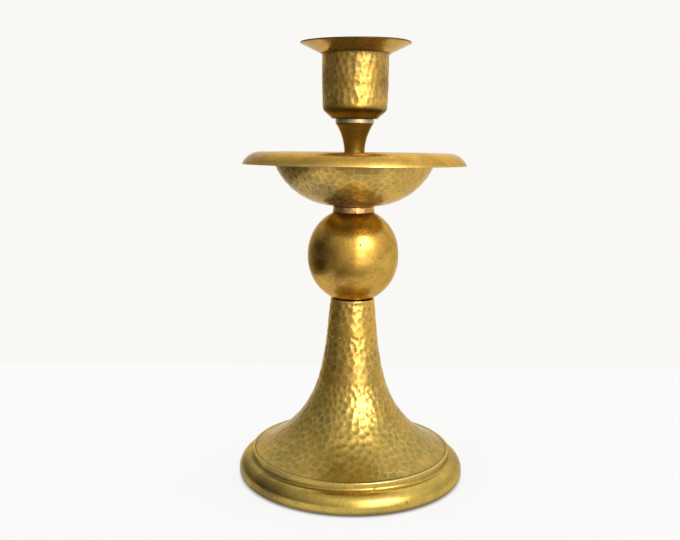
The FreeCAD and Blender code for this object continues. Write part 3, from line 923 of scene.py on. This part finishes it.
class BaseSkirt(Spun):
    """Hammered trumpet between plinth and ball."""

    name, node, slot, columns = "trumpet_skirt", "base_skirt", "hammered_brass", 440
    top = 73.2
    radius = 8.95
    taper_deg = 5.4
    straight = 13.8
    mid_round = 127.0
    mid_deg = 13.8
    flare = 43.8
    wall = 1.0
    edge = 39.35
    flange = 1.8
    marks = HammerMarks(3.3, 2.0, 0.08, 0.33, seed=11, tall=1.15)
    waves = Unevenness(0.12, seed=5)
    # dark patches: partly staining and partly painted dark reflection
    stains_and_reflections = (StainAndReflection(224.0, 50.0, 11.0, 0.45), StainAndReflection(232.0, 30.0, 12.0, 0.25), StainAndReflection(318.0, 44.0, 9.0, 0.25))
    # a painted shade line on the front where the skirt meets the plinth, and a faint dark joint line all
    # round
    dirt_and_shade_lines = (
        Trace(edge + 0.1, 10.9, 0.4, 0.9, facing_deg=-70.0, spread_deg=24.0),
        Trace(edge + 0.1, 10.9, 0.15, 0.2),
    )
    # light line round the top edge under the ball: partly rubbing and partly painted highlight
    rubbed = (Trace(radius, top - 0.3, 0.6, 1.0),)
    lean, turn = math.radians(taper_deg), math.radians(mid_deg)
    level = np.array([math.cos(lean), math.sin(lean)])
    out = np.array([math.cos(turn), math.sin(turn)])
    line_end = np.array([radius + straight * math.sin(lean), top - straight * math.cos(lean)])
    mid = line_end + mid_round * level
    flare_at = mid - (mid_round - flare) * out
    edge_up = flare_at[1] - math.sqrt(flare ** 2 - (flare_at[0] - edge) ** 2)
    inside = flare + wall
    inner_edge = edge - wall
    inner_up = flare_at[1] - math.sqrt(inside ** 2 - (flare_at[0] - inner_edge) ** 2)
    bore = radius - wall / math.cos(lean)
    foot = edge_up - flange
    outline = (
        Outline(edge, foot)
        .go(edge, edge_up, soft=0.14)
        .go(*(flare_at - flare * out), flare, Swell.LEFT, skin=Skin.HAMMERED, step=0.5)
        .go(*line_end, mid_round, Swell.LEFT, skin=Skin.HAMMERED, step=0.37)
        .go(radius, top, soft=0.45, skin=Skin.HAMMERED, step=0.32)
        .go(bore, top, soft=0.2, step=0.4)
        .go(*(mid - (mid_round + wall) * level), step=5.0)
        .go(*(flare_at - inside * out), mid_round + wall, step=5.0)
        .go(inner_edge, inner_up, inside, step=5.0)
        .go(inner_edge, foot, step=2.0)
        .close()
    )


class Half(Enum):
    """A half of the ball, and the side of the joint that it lies on."""

    LOWER = -1
    UPPER = 1


class BallHalf(Spun):
    """Pressed half of a hollow ball; the halves meet at a narrow straight waist."""

    slot, columns = "ball_brass", 420
    radius = 18.25
    waist = 2.0
    wall = 0.9
    hole = 2.7
    seat = 73.2
    seat_radius = 7.9455
    middle = seat + math.sqrt(radius ** 2 - seat_radius ** 2) + waist / 2
    waves = Unevenness(0.16, 27, joint_up=middle)
    # the dark patches on each half's left front are painted dark reflections
    spots = {
        Half.UPPER: (
            (Pit(-82.0, 97.2, 0.42, 0.16), Pit(-56.0, 91.9, 0.36, 0.12), Pit(-25.0, 101.0, 0.3, 0.1),
             Pit(-63.0, 93.9, 0.2, 0.06), Pit(120.0, 95.0, 0.4, 0.14), Pit(200.0, 99.0, 0.3, 0.1)),
            (StainAndReflection(223.0, 94.5, 4.5, 0.9), StainAndReflection(230.0, 99.0, 3.5, 0.5)),
        ),
        Half.LOWER: (
            (Pit(-70.0, 87.6, 0.22, 0.06), Pit(60.0, 85.0, 0.35, 0.12), Pit(-150.0, 82.0, 0.3, 0.1)),
            (StainAndReflection(224.0, 88.0, 4.5, 0.9), StainAndReflection(250.0, 83.0, 5.0, 0.4)),
        ),
    }

    def __init__(self, half: Half) -> None:
        """Draws one half: up its outside if it is the upper one, and down its inside if the lower."""
        self.name, self.node = f"ball_{half.name.lower()}_shell", f"ball_{half.name.lower()}_half"
        self.pits, self.stains_and_reflections = self.spots[half]
        radius, hole, middle = self.radius, self.hole, self.middle
        inside = radius - self.wall
        centre = middle + half.value * self.waist / 2
        outer_pole = centre + half.value * math.sqrt(radius ** 2 - hole ** 2)
        inner_pole = centre + half.value * math.sqrt(inside ** 2 - hole ** 2)
        if half is Half.UPPER:
            walk = Outline(radius, middle).go(radius, centre, step=0.25)
            walk.go(hole, outer_pole, radius, step=0.27).go(hole, inner_pole)
            walk.go(inside, centre, inside, Swell.LEFT, step=3.0).go(inside, middle)
        else:
            walk = Outline(inside, middle).go(inside, centre)
            walk.go(hole, inner_pole, inside, Swell.LEFT, step=3.0).go(hole, outer_pole)
            walk.go(radius, centre, radius, step=0.27).go(radius, middle, step=0.25)
        self.outline = walk.close()


class PanCollar(Spun):
    """Ferrule between ball and pan, lightly hammered."""

    name, node, slot, columns = "ball_collar", "pan_collar", "turned_brass", 256
    top = 110.4
    top_radius = 8.15
    foot_radius = 8.4
    bore = 6.0
    ball_centre = 91.6296
    ball_radius = 18.25
    marks = HammerMarks(2.2, 2.2, 0.12, 0.12, seed=23)
    # dark lines where the collar meets the ball and under the pan: partly soiling and partly painted shade
    dirt_and_shade_lines = (Trace(foot_radius, 107.85, 0.3, 0.8), Trace(top_radius, top, 0.22, 0.7))
    pits = (Pit(-86.0, 109.0, 0.28, 0.08),)
    fade_mm = 0.4
    foot = ball_centre + math.sqrt(ball_radius ** 2 - foot_radius ** 2)
    inner_foot = ball_centre + math.sqrt(ball_radius ** 2 - bore ** 2)
    outline = (
        Outline(bore, inner_foot)
        .go(foot_radius, foot, ball_radius, Swell.LEFT, soft=0.15, step=0.5)
        .go(top_radius, top, soft=0.25, skin=Skin.HAMMERED, step=0.16)
        .go(bore, top)
        .close()
    )


class DripPan(Spun):
    """Wide pan: hammered bowl, flat rim and turned-down edge."""

    name, node, slot, columns = "hammered_pan", "drip_pan", "pan_brass", 400
    floor = 110.4
    flat = 7.0
    bowl = 26.65
    wall = 1.2
    radius = 44.4
    rim_top = 131.6
    bend = 8.0
    edge_up = 126.6
    hole = 2.7
    marks = HammerMarks(2.4, 3.0, 0.15, 0.05, seed=31)
    waves = Unevenness(0.12, seed=8)
    # dark patches, staining and painted dark reflection; the two on the bowl's floor paint the ball's
    # reflection
    stains_and_reflections = (
        StainAndReflection(212.0, 121.0, 17.0, 0.55), StainAndReflection(208.0, 128.5, 15.0, 0.4),
        StainAndReflection(252.0, 112.8, 8.0, 0.9), StainAndReflection(278.0, 112.8, 6.0, 0.7),
    )
    # a light streak along the turned-down edge: partly rubbing and partly painted highlight
    rubbed = (Trace(radius - 0.3, edge_up + 0.3, 0.5, 0.9),)
    # painted shade under the rim at the bowl's top, and dark rings at collar and neck, soiling and painted
    # shade
    dirt_and_shade_lines = (Trace(33.3, 130.2, 1.1, 0.7), Trace(8.3, 110.4, 0.5, 0.8), Trace(6.9, 111.7, 0.9, 0.8))
    fade_mm = 2.0
    centre_up = floor + bowl
    rim_under = rim_top - wall
    inside = bowl - wall
    throat = flat + math.sqrt(bowl ** 2 - (centre_up - rim_under) ** 2)
    mouth = flat + math.sqrt(inside ** 2 - (centre_up - rim_top) ** 2)
    drop = edge_up - (rim_top - bend)
    bend_across = radius - math.sqrt(bend ** 2 - drop ** 2)
    inner_bend = bend - wall
    inner_edge = bend_across + math.sqrt(inner_bend ** 2 - drop ** 2)
    outline = (
        Outline(hole, floor)
        .go(flat, floor)
        .go(throat, rim_under, bowl, soft=0.6, skin=Skin.HAMMERED, step=0.4)
        .go(bend_across, rim_under, step=1.0)
        .go(inner_edge, edge_up, inner_bend, Swell.LEFT, soft=0.35, step=0.8)
        .go(radius, edge_up, soft=0.35)
        .go(bend_across, rim_top, bend, step=0.35)
        .go(mouth, rim_top, soft=1.6, step=0.7)
        .go(flat, floor + wall, inside, Swell.LEFT, skin=Skin.HAMMERED, step=0.5)
        .go(hole, floor + wall)
        .close()
    )


class NeckStem(Spun):
    """Turned neck, a trumpet both ways, bored from both ends."""

    name, node, slot, columns = "turned_neck", "neck_stem", "turned_brass", 224
    foot = 111.6
    top = 142.6
    radius = 4.0
    flare = 21.3
    waist = 131.1
    foot_flare = 12.0
    foot_waist = 120.5
    foot_edge = 1.2
    bore = 2.05
    # a painted shadow under the seat ring's overhang at the top; at the foot, soiling and painted shade
    dirt_and_shade_lines = (Trace(7.3, top, 0.3, 0.95), Trace(6.8, foot, 0.6, 0.8))
    foot_top = foot + foot_edge
    foot_across = radius + foot_flare - math.sqrt(
        foot_flare ** 2 - (foot_waist - foot_top) ** 2)
    top_across = radius + flare - math.sqrt(flare ** 2 - (top - waist) ** 2)
    outline = (
        Outline(bore, foot)
        .go(foot_across, foot, soft=0.2)
        .go(foot_across, foot_top, soft=0.3, step=0.4)
        .go(radius, foot_waist, foot_flare, Swell.LEFT, step=0.4)
        .go(radius, waist, step=0.6)
        .go(top_across, top, flare, Swell.LEFT, soft=0.35, step=0.4)
        .go(bore, top)
        .close()
    )


class SeatRing(Spun):
    """Silvery ring of solder-faced metal between neck and socket."""

    name, node, slot, columns = "solder_seat", "socket_seat_ring", "soft_solder", 224
    foot = 142.6
    top = 144.5
    radius = 7.65
    bore = 2.1
    waves = Unevenness(0.12, seed=14)
    outline = (
        Outline(bore, foot)
        .go(radius, foot, soft=0.32)
        .go(radius, top, soft=0.3, step=0.25)
        .go(bore, top)
        .close()
    )


class CandleSocket(Spun):
    """Candle cup: bevelled foot, hammered wall and a smooth raised flange."""

    name, node, slot, columns = "candle_cup", "candle_socket", "socket_brass", 400
    base = 144.5
    floor = 2.5
    foot_radius = 8.9
    bevel = 3.4
    bevel_radius = 12.65
    belly = 14.0
    radius = 13.1
    bore = 12.0
    inner_bevel = 1.1
    flange = 21.6
    root = 169.3
    lip = 0.55
    mouth = 169.7
    top = 174.0
    screw_hole = 2.1
    sink = 3.75
    marks = HammerMarks(2.1, 2.15, 0.22, 0.22, seed=41, tall=1.45)
    waves = Unevenness(0.08, seed=17)
    # dark patches: partly staining and partly painted dark reflection
    stains_and_reflections = (StainAndReflection(205.0, 158.0, 9.0, 0.6), StainAndReflection(270.0, 171.0, 10.0, 0.6), StainAndReflection(330.0, 158.0, 5.0, 0.5))
    droop = Droop(-112.0, 0.75, root=13.6, rim=flange)
    # dark lines at the flange's edge, under it, at the foot and at the inner floor: soiling and painted shade
    dirt_and_shade_lines = (
        Trace(flange, top - 0.1, 0.6, 1.0),
        Trace(radius + 0.2, root, 0.45, 0.75),
        Trace(foot_radius, base, 0.5, 0.8),
        Trace(bore, 147.4, 1.6, 0.8),
    )
    fade_mm = 0.8
    bevel_up, belly_up = base + bevel, base + belly
    floor_top = base + floor
    swell = radius - bevel_radius
    belly_round = ((belly_up - bevel_up) ** 2 + swell ** 2) / (2 * swell)
    outline = (
        Outline(screw_hole, base)
        .go(foot_radius, base, soft=0.25)
        .go(bevel_radius, bevel_up, soft=1.1, step=0.5)
        .go(radius, belly_up, belly_round, skin=Skin.HAMMERED, step=0.27)
        .go(radius, root, soft=0.5, skin=Skin.HAMMERED, step=0.27)
        .go(flange, top - lip, soft=0.12, step=0.6)
        .go(flange, top, soft=0.2)
        .go(bore, mouth, soft=1.45, step=0.6)
        .go(bore, floor_top + inner_bevel, soft=0.5, step=1.0)
        .go(bore - inner_bevel, floor_top, soft=0.4)
        .go(sink, floor_top)
        .go(screw_hole, floor_top - (sink - screw_hole))
        .close()
    )


def dress(finish: Material, *nodes: str) -> None:
    """Gives CAD nodes that keep their own shape a finish.

    Args:
        finish: The finish.
        *nodes: Names of the nodes.
    """
    for name in nodes:
        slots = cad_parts[name].data.materials
        slots.clear()
        slots.append(finish)
        LOG.info("%s: %s, shape from the CAD", name, finish.name)


# ---- studio
Stops = tuple[tuple[float, float], ...]


@dataclass(frozen=True)
class Light:
    """Light from one part of the room, as shares of its strength.

    around goes by bearing, where 0 is the viewer and + is to the viewer's right, and upright by height above
    the horizon. Both are pairs of degrees and share.
    """

    strength: float
    around: Stops
    upright: Stops


CEILING: Stops = ((-90, 0.0), (10, 0.0), (34, 0.3), (65, 0.6), (90, 0.8))
WALLS = Light(
    1.55,
    around=(
        (-180, 0.75), (-158, 0.62), (-140, 0.3), (-115, 0.1), (-80, 0.06), (-50, 0.19), (-20, 0.43),
        (-4, 0.58), (12, 0.85), (50, 0.95), (70, 0.72), (95, 0.52), (140, 0.65), (180, 0.75),
    ),
    upright=((-90, 0.18), (-34, 0.34), (-14, 0.8), (0, 1.0), (56, 1.0), (76, 0.3), (90, 0.0)),
)
WINDOW = Light(
    11.0,
    around=((-180, 0), (10, 0), (19, 0.9), (28, 1), (46, 0.9), (57, 0), (180, 0)),
    upright=((-90, 0), (13, 0), (23, 0.8), (40, 1), (50, 0), (90, 0)),
)
SKY_BY_THE_HORIZON = Light(
    2.6,
    around=((-180, 0), (4, 0), (14, 1), (24, 1), (48, 0.3), (58, 0), (180, 0)),
    upright=((-90, 0), (-12, 0), (-4, 1), (14, 1), (24, 0), (90, 0)),
)


@dataclass(frozen=True)
class Studio:
    """A white table in a light room with one tall window beside the viewer.

    The table that the metal mirrors ends in front and at the left, and the one that is seen at the back.
    Both are matt laminate that glows evenly, as bright as in flat daylight, so that real shadows on them are
    faint, and a painted shadow darkens each round the foot.
    """

    front_mm: float = 105.0
    left_mm: float = 150.0
    back_mm: float = 162.0
    reach_mm: float = 3000.0
    # painted contact shadow: the glow rises from none at foot_mm to full at foot_mm plus shade_mm
    foot_mm: float = 43.6
    glow: float = 0.83
    mirrored_glow: float = 1.0
    shade_mm: float = 2.8
    mirrored_shade_mm: float = 6.0
    white: float = 0.14
    patch_mm: float = 90.0
    lens_mm: float = 42.9
    eye_mm: tuple[float, float, float] = (-5.16, -324.0, 133.4)
    tip_deg: float = 8.6
    lean_deg: float = 0.65

    def build(self) -> None:
        """Makes the room, the table and the camera."""
        self._room()
        whole = (-self.reach_mm, self.reach_mm)
        seen = self._sheet("floor", whole, (-self.reach_mm, self.back_mm),
                           self._laminate("white_table", self.glow, self.shade_mm))
        seen.visible_glossy = False
        mirrored = self._sheet("table_top", (-self.left_mm, self.reach_mm), (-self.front_mm, self.reach_mm),
                               self._laminate("mirrored_table", self.mirrored_glow, self.mirrored_shade_mm))
        mirrored.visible_camera = False
        mirrored.visible_diffuse = False
        mirrored.visible_shadow = False
        self._camera()
        view = bpy.context.scene.view_settings
        view.view_transform = "Standard"
        view.look = "None"

    def _room(self) -> None:
        """What the metal mirrors by direction, and plain light for all else."""
        world = bpy.data.worlds.new("room")
        world.use_nodes = True
        nodes = Nodes(world.node_tree, "Generated")
        split = nodes.add("SeparateXYZ", {"Vector": nodes.place}).outputs
        bearing = nodes.maths("ARCTAN2", split["X"], nodes.maths("MULTIPLY", split["Y"], -1.0))
        lift = nodes.maths("ARCSINE", split["Z"])
        brightness = self._by_angle(nodes, lift, 90, CEILING)
        for light in (WALLS, WINDOW, SKY_BY_THE_HORIZON):
            patch = nodes.maths("MULTIPLY", self._by_angle(nodes, bearing, 180, light.around),
                                self._by_angle(nodes, lift, 90, light.upright))
            brightness = nodes.maths("MULTIPLY_ADD", patch, light.strength, brightness)
        glossy = nodes.add("Background", {"Color": (1.0, 0.99, 0.96, 1.0), "Strength": brightness})
        plain = nodes.add("Background", {"Color": linear("#F9F8F5"), "Strength": 1.0})
        chosen = nodes.add("MixShader", {
            0: nodes.add("LightPath").outputs["Is Glossy Ray"],
            1: plain.outputs["Background"], 2: glossy.outputs["Background"],
        })
        nodes.add("OutputWorld", {"Surface": chosen.outputs["Shader"]})
        bpy.context.scene.world = world

    @staticmethod
    def _by_angle(nodes: Nodes, angle: Socket, limit_deg: int, stops: Stops) -> Socket:
        """Brightness by angle.

        Args:
            nodes: Tree of the world.
            angle: Angle in radians.
            limit_deg: Largest angle.
            stops: Pairs of degrees and brightness, in order.

        Returns:
            Socket with the brightness.
        """
        limit = math.radians(limit_deg)
        ramp = nodes.add("ValToRGB", {"Fac": nodes.span(angle, -limit, limit)})
        ramp.color_ramp.interpolation = "EASE"
        elements = ramp.color_ramp.elements
        while len(elements) < len(stops):
            elements.new(0.5)
        for element, (degrees, brightness) in zip(elements, stops):
            element.position = (degrees / limit_deg + 1) / 2
            element.color = (brightness, brightness, brightness, 1.0)
        return ramp.outputs["Color"]

    def _laminate(self, name: str, glow: float, shade_mm: float) -> Material:
        """Matt white laminate that glows, with a painted shadow round the foot.

        Args:
            name: Name of the material.
            glow: Its even glow, which only the painted shadow round the foot takes away.
            shade_mm: How far out from the foot the painted shadow goes.

        Returns:
            The material.
        """
        material, nodes = new_material(name)
        away = nodes.add("VectorMath", {0: nodes.place}, operation="LENGTH").outputs["Value"]
        patches = nodes.noise(self.patch_mm, 3.0)
        nodes.surface({
            "Base Color": nodes.span(patches, to_low=self.white - 0.01, to_high=self.white + 0.01),
            "Roughness": 0.85,
            "Specular IOR Level": 0.0,
            "Emission Color": linear("#FFFFFF"),
            # painted contact shadow: no glow at the foot, full glow shade_mm further out
            "Emission Strength": nodes.span(away, self.foot_mm * MM, (self.foot_mm + shade_mm) * MM,
                                            to_high=glow),
        })
        return material

    @staticmethod
    def _sheet(name: str, across: tuple[float, float], along: tuple[float, float],
               material: Material) -> bpy.types.Object:
        """A level sheet at table height.

        Args:
            name: Name of the object.
            across: Its reach along X, in millimetres.
            along: Its reach along Y, in millimetres.
            material: Its finish.

        Returns:
            The sheet.
        """
        low = CAD_BOX[0].z
        (left, right), (front, back) = across, along
        corners = [
            (x * MM, y * MM, low) for x, y in ((left, front), (right, front), (right, back), (left, back))
        ]
        mesh = bpy.data.meshes.new(name)
        mesh.from_pydata(corners, [], [(0, 1, 2, 3)])
        mesh.materials.append(material)
        sheet = bpy.data.objects.new(name, mesh)
        bpy.context.scene.collection.objects.link(sheet)
        return sheet

    def _camera(self) -> None:
        """A hand-held camera a little above the drip pan, tipped down and not quite level."""
        lens = bpy.data.cameras.new("viewer")
        lens.lens = self.lens_mm
        lens.sensor_width = 36.0
        lens.clip_start = 0.01
        camera = bpy.data.objects.new("viewer", lens)
        camera.matrix_world = (
            Matrix.Translation(Vector(self.eye_mm) * MM)
            @ Matrix.Rotation(math.radians(90 - self.tip_deg), 4, "X")
            @ Matrix.Rotation(math.radians(self.lean_deg), 4, "Z")
        )
        bpy.context.scene.collection.objects.link(camera)
        bpy.context.scene.camera = camera


def main() -> None:
    """Builds the candlestick and its studio, and reports each piece."""
    logging.basicConfig(level=logging.INFO, format="%(name)s: %(message)s")
    hammered = AgedBrass(
        "hammered_sheet_brass", Grain.PLANISHED, roughness=0.145, film=0.34, tint=0.08, edge_shine=0.5,
        low_share=0.55, dulling=0.24, olive="#907D34", olive_low_mm=16.0, olive_high_mm=52.0,
    ).build()
    panned = AgedBrass(
        "hammered_pan_brass", Grain.PLANISHED, roughness=0.25, film=0.26, tint=0.1, olive="#89763A",
        low_share=0.15, olive_low_mm=120.0, olive_high_mm=131.0,
    ).build()
    spun = AgedBrass(
        "spun_satin_brass", Grain.SPUN, roughness=0.19, film=0.15, cloud_share=0.5, metal="#CFA94E",
        brown="#8E5A1C", olive="#94843A", worn_and_highlight="#EEDCA8", olive_low_mm=8.0, olive_high_mm=30.0,
    ).build()
    turned = AgedBrass(
        "turned_neck_brass", Grain.SPUN, roughness=0.25, ring_mm=0.25, brown="#7E6C30",
        olive_low_mm=140.0, olive_high_mm=141.0,
    ).build()
    ferrule = AgedBrass(
        "turned_ferrule_brass", Grain.SPUN, roughness=0.2, ring_mm=0.25, metal="#D0985A",
        brown="#8F5A3C", olive="#96683C",
    ).build()
    smooth = AgedBrass(
        "rubbed_brass", Grain.RUBBED, roughness=0.25, cloud_mm=7.0, cloud_share=0.62, brown="#7A4E20",
        olive="#806A2C",
    ).build()
    solder = PlainMetal("soft_solder", "#CABE96", "#9A8D66", 0.42, 1.4).build()
    steel = PlainMetal("zinc_plated_steel", "#9A9A97", "#6F6E6A", 0.38, 2.5).build()
    pieces: tuple[tuple[Spun, Material], ...] = (
        (FootRing(), spun), (BaseSkirt(), hammered), (BallHalf(Half.LOWER), smooth),
        (BallHalf(Half.UPPER), smooth), (PanCollar(), ferrule), (DripPan(), panned), (NeckStem(), turned),
        (SeatRing(), solder), (CandleSocket(), hammered),
    )
    for piece, finish in pieces:
        made = piece.make(finish)
        LOG.info("%s: %s, %d faces", made.name, finish.name, len(made.data.polygons))
    dress(steel, "tie_rod", "tie_rod_nut", "spring_washer", "clamp_disc", "socket_screw")
    dress(solder, "foot_solder_seam")
    Studio().build()


if __name__ == "__main__":
    main()
